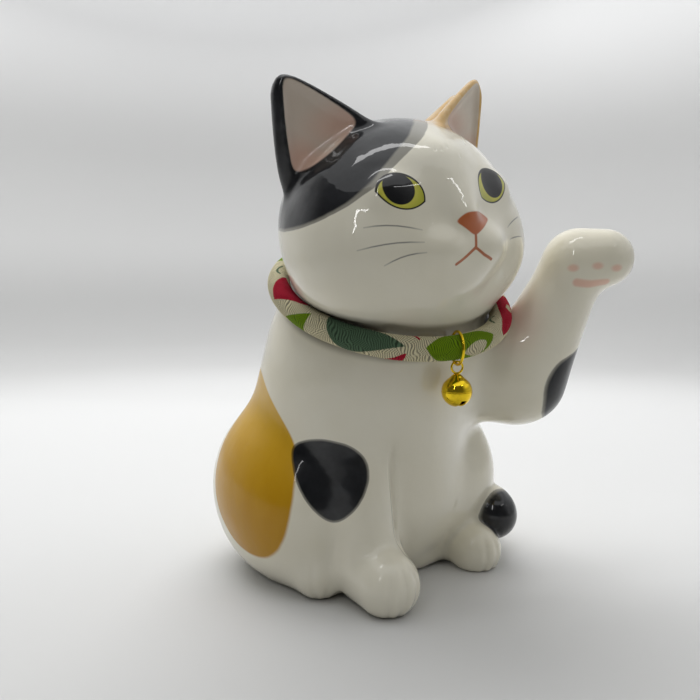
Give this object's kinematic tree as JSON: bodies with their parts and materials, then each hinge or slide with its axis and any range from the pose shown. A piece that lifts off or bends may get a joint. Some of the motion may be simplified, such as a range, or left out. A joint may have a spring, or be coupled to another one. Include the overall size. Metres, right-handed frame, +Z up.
{
  "type": "beckoning cat figurine",
  "caption": "Seated hollow ceramic cat with one raised foreleg, a padded cloth collar and a small brass jingle bell that hangs from it.",
  "frame": {"origin": "on the flat base, where the cat's own middle plane crosses the line between its two haunches", "axes": "+Z up from the base, -Y the way the cat looks, +X towards the raised foreleg"},
  "size_m": [0.1084, 0.1105, 0.153],
  "materials": {
    "glazed_ceramic": "white gloss glaze over painted black, ochre and pink patches",
    "collar_cloth": "printed crepe cloth",
    "collar_filler": "soft filler cord",
    "collar_thread": "cotton thread",
    "gilt_brass": "polished, gilt",
    "steel_pellet": "plain"
  },
  "bodies": {
    "figurine": {"ceramic_body": "glazed_ceramic"},
    "collar": {"collar_sleeve": "collar_cloth", "collar_core": "collar_filler", "collar_binding": "collar_thread"},
    "ring": {"jump_ring": "gilt_brass"},
    "bell": {"bell_eye": "gilt_brass", "bell_upper_shell": "gilt_brass", "bell_lower_shell": "gilt_brass"},
    "pellet": {"bell_pellet": "steel_pellet"}
  },
  "joints": [
    {"name": "collar_turn", "type": "hinge", "parent": "figurine", "child": "collar", "pos_m": [0.0045, -0.0215, 0.0885], "axis": [-0.079, -0.4226, 0.9029], "range_deg": [-25, 20]},
    {"name": "ring_turn", "type": "hinge", "parent": "collar", "child": "ring", "pos_m": [0.00634, -0.05231, 0.07424], "axis": [0.9954, 0.0158, 0.0945], "range_deg": [-30, 8]},
    {"name": "bell_swing", "type": "hinge", "parent": "ring", "child": "bell", "pos_m": [0.00634, -0.05231, 0.06917], "axis": [0.2939, 0.9558, 0], "range_deg": [-35, 35]},
    {"name": "pellet_rattle", "type": "slide", "parent": "bell", "child": "pellet", "axis": [0, 0, 1], "range_m": [0, 0.0045]}
  ]
}
